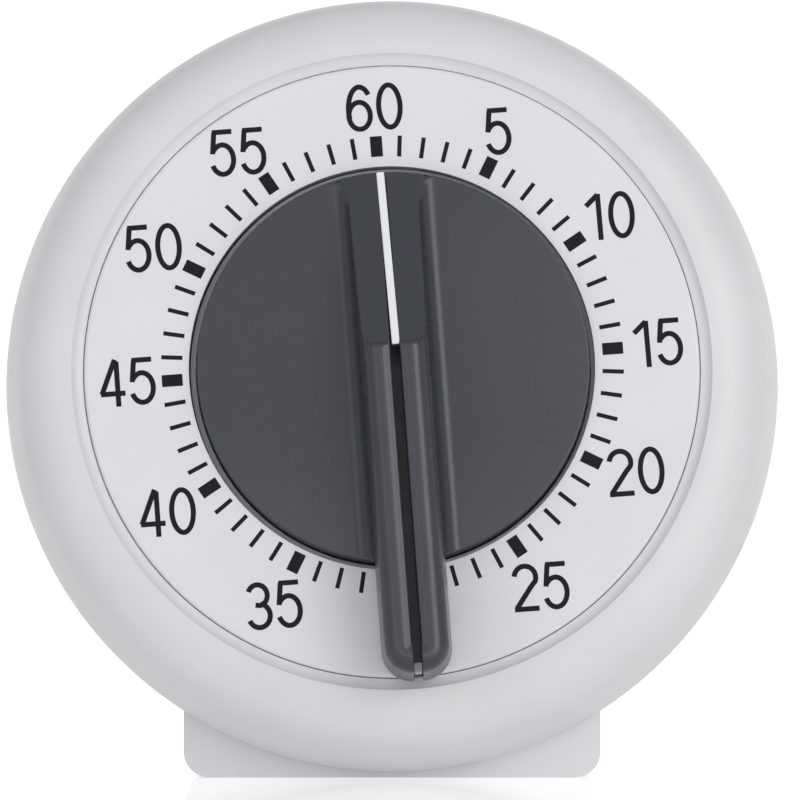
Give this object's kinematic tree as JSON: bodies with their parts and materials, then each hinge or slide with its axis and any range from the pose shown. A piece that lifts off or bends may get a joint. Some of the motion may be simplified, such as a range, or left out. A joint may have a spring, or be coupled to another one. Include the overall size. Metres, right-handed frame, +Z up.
{
  "type": "kitchen timer",
  "caption": "Mechanical 60-minute kitchen timer: round leaning case on a foot, printed dial, and a sunk knob with a slotted grip that winds a spring movement with a bell.",
  "frame": {"origin": "centre of the foot's flat underside, on the table", "axes": "+Z up; the dial faces -Y and leans back 6.5 degrees; +X is to the right of someone who reads the dial"},
  "size_m": [0.085, 0.0584, 0.0854],
  "materials": {
    "white_case": "satin moulded white ABS",
    "white_dial": "satin white ABS with matt black print",
    "grey_knob": "satin slate grey ABS",
    "dial_ink": "matt black pad-printed ink",
    "white_pointer": "smooth white plastic",
    "screw_steel": "zinc plated",
    "plate_steel": "zinc plated sheet",
    "spring_steel": "blued spring steel",
    "bell_steel": "nickel plated",
    "shaft_steel": "ground steel",
    "train_brass": "stamped brass",
    "white_acetal": "moulded acetal"
  },
  "bodies": {
    "case": {"front_bezel": "white_case", "dial_plate": "white_dial", "rear_case": "white_case", "case_screws": "screw_steel", "movement_screws": "screw_steel", "front_plate": "plate_steel", "back_plate": "plate_steel", "plate_pillars": "plate_steel", "pillar_nuts": "screw_steel", "mainspring": "spring_steel", "spring_post": "plate_steel", "bell": "bell_steel", "bell_post": "plate_steel", "bell_screw": "screw_steel"},
    "knob_and_arbor": {"knob": "grey_knob", "pointer_strip": "white_pointer", "main_arbor": "shaft_steel", "trip_cam": "train_brass", "clutch_washer": "spring_steel", "centre_wheel": "train_brass"},
    "second_wheel_set": {"second_pinion": "shaft_steel", "second_wheel": "train_brass"},
    "third_wheel_set": {"third_pinion": "shaft_steel", "third_wheel": "white_acetal"},
    "escape_wheel_set": {"escape_pinion": "shaft_steel", "escape_wheel": "white_acetal"},
    "verge": {"verge_arbor": "shaft_steel", "pallet_anchor": "train_brass", "pallet_pins": "shaft_steel", "inertia_bar": "plate_steel"},
    "striker": {"hammer_arbor": "shaft_steel", "trip_lever": "plate_steel", "hammer_arm": "plate_steel", "hammer_head": "train_brass"}
  },
  "joints": [
    {"name": "knob_turn", "type": "hinge", "parent": "case", "child": "knob_and_arbor", "pos_m": [0.00015, -0.02422, 0.045], "axis": [0, 0.9936, -0.1132], "range_deg": [0, 354]},
    {"name": "second_wheel_turn", "type": "hinge", "parent": "case", "child": "second_wheel_set", "pos_m": [-0.01501, -0.02323, 0.05369], "axis": [0, 0.9936, -0.1132], "range_deg": [-2124, 0]},
    {"name": "third_wheel_turn", "type": "hinge", "parent": "case", "child": "third_wheel_set", "pos_m": [-0.01657, -0.0248, 0.03987], "axis": [0, 0.9936, -0.1132], "range_deg": [0, 12744]},
    {"name": "escape_wheel_turn", "type": "hinge", "parent": "case", "child": "escape_wheel_set", "pos_m": [-0.00909, -0.0259, 0.03023], "axis": [0, 0.9936, -0.1132], "range_deg": [-76464, 0]},
    {"name": "verge_rock", "type": "hinge", "parent": "case", "child": "verge", "pos_m": [0.00004, -0.0262, 0.02761], "axis": [0, 0.9936, -0.1132], "range_deg": [-4, 4]},
    {"name": "striker_swing", "type": "hinge", "parent": "case", "child": "striker", "pos_m": [0.02015, -0.02467, 0.04102], "axis": [0, 0.9936, -0.1132], "range_deg": [-6, 2]}
  ],
  "couplings": [
    {"joint": "second_wheel_turn", "follows": "knob_turn", "ratio": -6},
    {"joint": "third_wheel_turn", "follows": "knob_turn", "ratio": 36},
    {"joint": "escape_wheel_turn", "follows": "knob_turn", "ratio": -216}
  ]
}
